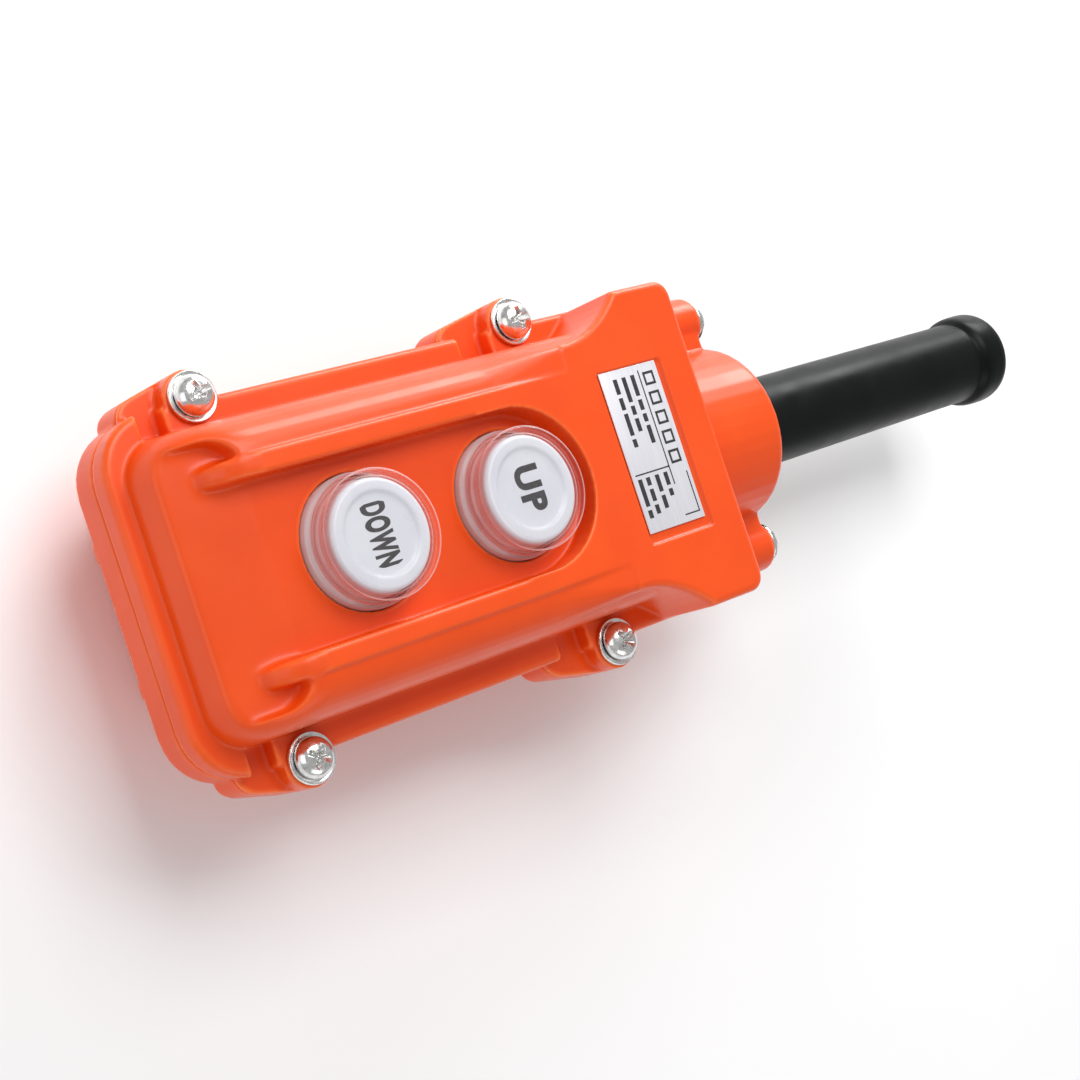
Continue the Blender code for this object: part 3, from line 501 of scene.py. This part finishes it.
def cable_sleeve():
    """Moulded rubber: clamped lip, long tapered barrel and a cuff with a fine groove at its root."""
    low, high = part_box("cable_sleeve")
    start, stop = low.x / MM, high.x / MM
    lip_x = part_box("gland_cap")[0].x / MM + 0.1
    cuff = stop - CUFF_LENGTH
    profile = rounded_profile(
        [
            (6.0, start, 0.4),
            (9.1, start, 0.4),
            (9.75, start + 1.0, 0.5),
            (9.75, lip_x, 0.2),
            (13.5, lip_x, 0.5),
            (13.5, lip_x + 2.8, 0.5),
            (9.75, lip_x + 2.8, 0.3),
            (9.72, lip_x + 30.0, 0.0),
            (9.40, cuff - 2.4, 1.2),
            (9.46, cuff - 1.3, 0.4),
            (9.30, cuff - 1.0, 0.2),
            (9.46, cuff - 0.7, 0.3),
            (10.45, cuff + 0.5, 0.9),
            (10.7, cuff + 2.2, 1.2),
            (10.7, stop - 1.6, 0.9),
            (10.2, stop, 0.7),
            (7.0, stop, 0.5),
            (6.0, stop - 1.2, 0.6),
        ],
        5,
    )
    mesh = lathe("cable_sleeve_rubber", profile)
    mesh.transform(Matrix.Translation((0, 0, Z_PARTING)) @ Matrix.Rotation(math.radians(90), 4, "Y"))
    piece_from("cable_sleeve_rubber", mesh, "black_rubber", "case", ("cable_sleeve",))


# ---------------------------------------------------------------- fasteners

HEAD_HEIGHT = 2.8


def wedge_bar(name, long_top, long_low, wide_top, wide_low, top, low):
    """A tapered bar that cuts one stroke of a cross recess, in millimetres."""
    corners = []
    for half_x, half_y, z in ((long_low, wide_low, low), (long_top, wide_top, top)):
        for sx, sy in ((-1, -1), (1, -1), (1, 1), (-1, 1)):
            corners.append((sx * half_x * MM, sy * half_y * MM, z * MM))
    mesh = bpy.data.meshes.new(name)
    mesh.from_pydata(corners, [], BOX_FACES)
    made = bpy.data.objects.new(name, mesh)
    bpy.context.scene.collection.objects.link(made)
    return made


def pan_screw_mesh(shank_length):
    """A pan head with a cross recess, over a shank with a chamfered tip; the head sits on z = 0."""
    head = rounded_profile(
        [
            (0, HEAD_HEIGHT, 0),
            (1.4, HEAD_HEIGHT - 0.08, 0.6),
            (2.8, 2.25, 0.8),
            (3.65, 1.2, 0.7),
            (3.85, 0.15, 0.25),
            (3.75, 0, 0.1),
            (1.95, 0, 0.2),
            (1.95, -shank_length + 0.5, 0.1),
            (1.4, -shank_length, 0.1),
            (0, -shank_length, 0),
        ]
    )
    mesh = lathe("pan_screw", head, 64)
    screw = bpy.data.objects.new("pan_screw", mesh)
    bpy.context.scene.collection.objects.link(screw)
    bars = [wedge_bar("bar", 2.75, 1.0, 0.60, 0.36, 3.1, 0.5) for _ in range(2)]
    bars[1].data.transform(Matrix.Rotation(math.radians(90), 4, "Z"))
    bars.append(wedge_bar("core", 1.3, 0.4, 1.3, 0.4, 3.1, 0.3))
    bars[2].data.transform(Matrix.Rotation(math.radians(45), 4, "Z"))
    for bar in bars:
        cut = screw.modifiers.new("recess", "BOOLEAN")
        cut.operation = "DIFFERENCE"
        cut.object = bar
    edge = screw.modifiers.new("edge", "BEVEL")
    edge.width = 0.09 * MM
    edge.segments = 2
    edge.limit_method = "ANGLE"
    edge.angle_limit = math.radians(38)
    bake_modifiers(screw)
    made = screw.data
    for old in (screw, *bars):
        bpy.data.objects.remove(old)
    return smooth(made, 30)


def washer_mesh(thick):
    """A plain washer with rolled edges."""
    profile = rounded_profile(
        [
            (2.2, 0, 0.15),
            (4.7, 0, 0.35),
            (4.7, thick, 0.4),
            (4.35, thick, 0.2),
            (3.9, thick - 0.12, 0.3),
            (2.2, thick - 0.1, 0.15),
        ]
    )
    return lathe("washer", profile, 72)


def fasteners():
    """The four cover screws and two gland screws with their washers, each screw turned by its own angle."""
    first_turn, each_turn = 18, 37
    thick = (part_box("cover_washer_1")[1].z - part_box("cover_washer_1")[0].z) / MM
    washer = washer_mesh(thick)
    upright = Matrix.Identity(4)
    along_x = Matrix.Rotation(math.radians(90), 4, "Y")
    groups = [("cover", number, upright) for number in (1, 2, 3, 4)]
    groups += [("gland", number, along_x) for number in (1, 2)]
    for order, (kind, number, turn) in enumerate(groups):
        washer_node, screw_node = f"{kind}_washer_{number}", f"{kind}_screw_{number}"
        washer_low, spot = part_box(washer_node)[0], centre_of(washer_node)
        low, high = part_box(screw_node)
        if kind == "cover":
            seat = Vector((spot.x, spot.y, washer_low.z))
            head = Vector((spot.x, spot.y, high.z - HEAD_HEIGHT * MM))
            shank = (head.z - low.z) / MM
        else:
            seat = Vector((washer_low.x, spot.y, spot.z))
            head = Vector((high.x - HEAD_HEIGHT * MM, spot.y, spot.z))
            shank = (head.x - low.x) / MM
        spin = Matrix.Rotation(math.radians(first_turn + each_turn * order), 4, "Z")
        ring = washer.copy()
        ring.transform(Matrix.Translation(seat) @ turn)
        piece_from(f"{washer_node}_ring", ring, "zinc_steel", "case", (washer_node,))
        mesh = pan_screw_mesh(shank)
        mesh.transform(Matrix.Translation(head) @ turn @ spin)
        piece_from(f"{screw_node}_pan", mesh, "zinc_steel", "case", (screw_node,))


# ---------------------------------------------------------------- buttons

# millimetres: the print's level under the cap's rim, its thickness, and where the boot's bands change
DISH_DEPTH = 0.53
PRINT_THICKNESS = 0.05
CLEAR_BAND = 1.7
LIP_DEPTH = 6.0


def cap_mesh(top, foot):
    """A white cap with a rolled rim, a shallow dish, a ring line and a skirt."""
    profile = rounded_profile(
        [
            (0, top - 0.55, 0),
            (6.6, top - 0.5, 0.5),
            (7.25, top - 0.42, 0.25),
            (7.9, top, 0.35),
            (9.6, top, 0.4),
            (10.2, top - 0.7, 0.5),
            (10.2, top - 4.2, 0.3),
            (10.6, top - 4.5, 0.2),
            (10.6, foot, 0.2),
            (8.7, foot, 0.2),
            (8.7, top - 2.0, 0.3),
            (0, top - 2.0, 0),
        ]
    )
    return lathe("cap", profile)


def legend(word, centre, top, width, height, weight, body):
    """A raised printed word that reads across the case, its letter tops towards the sleeve."""
    text = bpy.data.curves.new(f"legend_{word}", "FONT")
    text.body = word
    text.align_x = "CENTER"
    text.align_y = "CENTER"
    text.size = 1.0
    text.offset = weight
    text.space_character = 1.15
    text.extrude = 0.01
    text.resolution_u = 6
    draft = bpy.data.objects.new("draft", text)
    bpy.context.scene.collection.objects.link(draft)
    graph = bpy.context.evaluated_depsgraph_get()
    mesh = bpy.data.meshes.new_from_object(draft.evaluated_get(graph))
    bpy.data.objects.remove(draft)
    spots = np.array([v.co for v in mesh.vertices])
    low, high = spots.min(0), spots.max(0)
    middle = (low + high) / 2
    mesh.transform(Matrix.Translation(-Vector(middle)))
    span = high - low
    wanted = (width, height, PRINT_THICKNESS)
    scales = [size * MM / found for size, found in zip(wanted, span, strict=True)]
    mesh.transform(Matrix.Diagonal((*scales, 1.0)))
    turn = Matrix.Rotation(math.radians(-90), 4, "Z")
    mesh.transform(Matrix.Translation((centre.x, centre.y, top)) @ turn)
    made = piece_from(f"legend_{word.lower()}", mesh, "white_plastic", body)
    made.data.materials[0] = LEGEND_INK


def boot_mesh(top, foot, flange):
    """The clear boot: rolled top bead over a thin window, bellows ledges, lip and hidden flange."""
    profile = rounded_profile(
        [
            (0, top - 0.30, 0),
            (9.9, top - 0.30, 0.4),
            (10.5, top, 0.4),
            (11.1, top, 0.4),
            (11.7, top - 0.6, 0.4),
            (11.7, top - 1.5, 0.3),
            (11.25, top - 1.9, 0.25),
            (11.2, top - 3.9, 0.3),
            (11.75, top - 4.3, 0.3),
            (11.85, top - 5.2, 0.3),
            (11.45, top - 5.6, 0.25),
            (11.5, top - 6.3, 0.25),
            (12.3, top - 6.8, 0.4),
            (12.3, flange, 0.2),
            (14.5, flange, 0.3),
            (14.5, foot, 0.3),
            (11.3, foot, 0.3),
            (11.3, top - 6.5, 0.4),
            (10.95, top - 6.0, 0.3),
            (11.1, top - 4.6, 0.3),
            (10.6, top - 3.8, 0.3),
            (10.6, top - 1.6, 0.6),
            (10.1, top - 0.85, 0.4),
            (0, top - 0.85, 0),
        ]
    )
    return lathe("boot", profile, 120)


def spring_mesh(low, high, radius, wire, turns):
    """A compression spring whose end turns lie nearly flat."""
    per_turn, sides = 36, 10
    end_turns, end_length, end_rise = 1.5, 0.11, 0.045
    count = int((turns + end_turns) * per_turn)
    work = bmesh.new()
    rings = []
    for k in range(count + 1):
        rise = np.interp(k / count, (0, end_length, 1 - end_length, 1), (0, end_rise, 1 - end_rise, 1))
        z = low + wire + (high - low - 2 * wire) * rise
        angle = 2 * math.pi * k / per_turn
        ring = []
        for j in range(sides):
            around = 2 * math.pi * j / sides
            r = radius + wire * math.cos(around)
            spot = (r * math.cos(angle), r * math.sin(angle), z + wire * math.sin(around))
            ring.append(work.verts.new(spot))
        rings.append(ring)
    for near, far in zip(rings, rings[1:]):
        for j in range(sides):
            n = (j + 1) % sides
            work.faces.new((near[j], near[n], far[n], far[j]))
    work.faces.new(rings[0])
    work.faces.new(rings[-1][::-1])
    bmesh.ops.recalc_face_normals(work, faces=work.faces)
    mesh = bpy.data.meshes.new("spring")
    work.to_mesh(mesh)
    work.free()
    return smooth(mesh, 60)


def squash_with(piece):
    """Gives the piece a mesh of its own; it is not pressed flatter here."""
    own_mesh(piece)


def button(word, width, height, weight):
    """A cap with its legend, the boot over it and the spring under it. Legend sizes are in millimetres."""
    key = word.lower()
    body, joint = f"{key}_button", f"{key}_press"
    centre = centre_of(f"button_cap_{key}")
    cap_low, cap_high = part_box(f"button_cap_{key}")
    top = cap_high.z / MM
    to_centre = Matrix.Translation((centre.x, centre.y, 0))

    cap = cap_mesh(top, cap_low.z / MM)
    cap.transform(to_centre)
    piece_from(f"cap_{key}", cap, "white_plastic", body, (f"button_cap_{key}",))
    legend(word, centre, cap_high.z - DISH_DEPTH * MM, width, height, weight, body)

    boot_low, boot_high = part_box(f"button_boot_{key}")
    boot = boot_mesh(boot_high.z / MM, boot_low.z / MM, boot_low.z / MM + 0.8)
    boot.transform(to_centre)
    skin = piece_from(f"boot_{key}", boot, "clear_silicone", "case", (f"button_boot_{key}",))
    boot.materials.append(SILICONE_PAINTED_ORANGE_REFLECTION)
    boot.materials.append(FROSTED_SILICONE)
    # the middle band takes the red tint of the painted orange reflection, the lip the frosted finish
    for face in boot.polygons:
        depth = (boot_high.z - face.center.z) / MM
        face.material_index = int(depth > CLEAR_BAND) + int(depth > LIP_DEPTH)
    squash_with(skin)

    low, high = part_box(f"return_spring_{key}")
    wire = 0.5 * MM
    coil = spring_mesh(low.z, high.z, (high.y - low.y) / 2 - wire, wire, 5)
    coil.transform(to_centre)
    spring = piece_from(f"spring_{key}", coil, "spring_steel", "case", (f"return_spring_{key}",))
    squash_with(spring)


# ---------------------------------------------------------------- rating plate


def flat_bars(name, bars, z, thick):
    """One mesh of thin raised bars, each (x0, x1, y0, y1) in metres."""
    points, faces = [], []
    for x0, x1, y0, y1 in bars:
        base = len(points)
        for level in (z, z + thick):
            points += [(x0, y0, level), (x1, y0, level), (x1, y1, level), (x0, y1, level)]
        faces += [tuple(base + i for i in face) for face in BOX_FACES]
    mesh = bpy.data.meshes.new(name)
    mesh.from_pydata(points, [], faces)
    return mesh


def rating_plate():
    """A foil plate with printed rules and blocks that stand for its wording."""
    low, high = PLATE_LOW, PLATE_HIGH
    blank = flat_bars("plate", [(low.x, high.x, low.y, high.y)], low.z, high.z - low.z)
    plate = bpy.data.objects.new("plate", blank)
    bpy.context.scene.collection.objects.link(plate)
    edge = plate.modifiers.new("edge", "BEVEL")
    edge.width = 0.12 * MM
    edge.segments = 3
    bake_modifiers(plate)
    mesh = plate.data
    bpy.data.objects.remove(plate)
    piece_from("rating_plate_foil", smooth(mesh), "label_silver", "case", ("rating_plate",))

    def bar(from_right, wide, from_far, long):
        """A bar placed from the plate's sleeve edge and its far edge, in millimetres."""
        x1, y1 = high.x - from_right * MM, high.y - from_far * MM
        return (x1 - wide * MM, x1, y1 - long * MM, y1)

    rule = 0.28
    bars = [bar(4.9, rule, 1.2, 23.2), bar(4.9, 9.2, 20.6, rule)]
    bars += [bar(0.9, rule, 22.6, 8.0), bar(0.9, 4.0, 30.6, rule)]

    margin, square_pitch = 1.8, 4.0
    for k in range(5):
        start = margin + square_pitch * k
        bars += [bar(1.3, 0.5, start, 2.7), bar(3.6, 0.5, start, 2.7)]
        bars += [bar(1.8, 1.8, start, 0.5), bar(1.8, 1.8, start + 2.2, 0.5)]

    # rows of blocks: distance from the edge nearest the sleeve, start from the far edge, block lengths
    row_height, gap = 1.05, 0.75
    rows = [(6.3, 1.8, (4.2, 2.1, 1.6, 3.6)), (8.6, 1.8, (5.0, 1.8, 2.6)), (10.9, 1.8, (3.0, 2.4, 4.4, 1.6))]
    rows += [(6.0, 21.6, (2.6, 1.4)), (8.3, 21.6, (3.4, 2.6)), (10.7, 21.6, (1.6, 2.4, 1.8))]
    rows += [(12.8, 21.6, (5.4, 1.6))]
    for from_right, start, words in rows:
        for long in words:
            bars.append(bar(from_right, row_height, start, long))
            start += long + gap
    print_mesh = flat_bars("plate_print", bars, high.z, 0.02 * MM)
    made = piece_from("rating_plate_print", print_mesh, "label_silver", "case")
    made.data.materials[0] = LEGEND_INK


# ---------------------------------------------------------------- pieces that keep their CAD shape


def carried_over():
    """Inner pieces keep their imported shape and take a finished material."""
    slots = {row["node"]: row["material_slot"] for row in frame["record"]["subparts"]}
    for name, node in NODES.items():
        material = MATERIALS[slots[name]]
        if not node.material_slots:
            node.data.materials.append(material)
        for place in node.material_slots:
            place.material = material


# ---------------------------------------------------------------- camera, light and floor


def camera():
    """Looks down on the button face from beyond the closed end, rolled so that the sleeve points right."""
    place = Vector((-0.26724, -0.01074, 0.33623))
    target = Vector((-0.031515, -0.00942, 0.035))
    roll = math.radians(71.4135)
    lens = bpy.data.cameras.new("camera")
    lens.lens = 66.0
    lens.sensor_width = 36.0
    lens.clip_start = 0.01
    made = bpy.data.objects.new("camera", lens)
    bpy.context.scene.collection.objects.link(made)
    aim = (target - place).to_track_quat("-Z", "Y").to_matrix().to_4x4()
    made.matrix_world = Matrix.Translation(place) @ aim @ Matrix.Rotation(roll, 4, "Z")
    bpy.context.scene.camera = made


def softbox(name, place, target, size, power):
    """A rectangular area light of a size in metres and a power in watts."""
    light = bpy.data.lights.new(name, "AREA")
    light.shape = "RECTANGLE"
    light.size, light.size_y = size
    light.energy = power
    made = bpy.data.objects.new(name, light)
    bpy.context.scene.collection.objects.link(made)
    aim = (Vector(target) - Vector(place)).to_track_quat("-Z", "Y").to_matrix().to_4x4()
    made.matrix_world = Matrix.Translation(place) @ aim


def studio():
    """A white world, four soft lights and a plain floor."""
    world = bpy.data.worlds.new("studio")
    bpy.context.scene.world = world
    world.use_nodes = True
    backdrop = world.node_tree.nodes["Background"]
    backdrop.inputs["Color"].default_value = (1.0, 1.0, 1.0, 1.0)
    backdrop.inputs["Strength"].default_value = 0.43
    softbox("key", (0.05, 0.42, 0.75), (0, 0, 0.03), (0.6, 0.45), 4.5)
    softbox("shoulder", (0.50, 0.62, 0.26), (0, 0, 0.04), (0.50, 0.26), 5.0)
    softbox("front", (-0.75, 0.10, 0.35), (0, 0, 0.03), (0.5, 0.5), 0.9)
    softbox("fill", (-0.10, -0.70, 0.40), (0, 0, 0.03), (0.6, 0.4), 1.0)

    bpy.ops.mesh.primitive_plane_add(size=6.0, location=(0, 0, 0))
    floor = bpy.context.object
    floor.name = "floor"
    floor.data.materials.append(floor_paint())
    bpy.context.scene.view_settings.view_transform = "Standard"


camera()
studio()
carried_over()
case_shells()
cable_sleeve()
fasteners()
rating_plate()
button("DOWN", 11.5, 5.4, 0.05)
button("UP", 8.8, 5.8, 0.045)
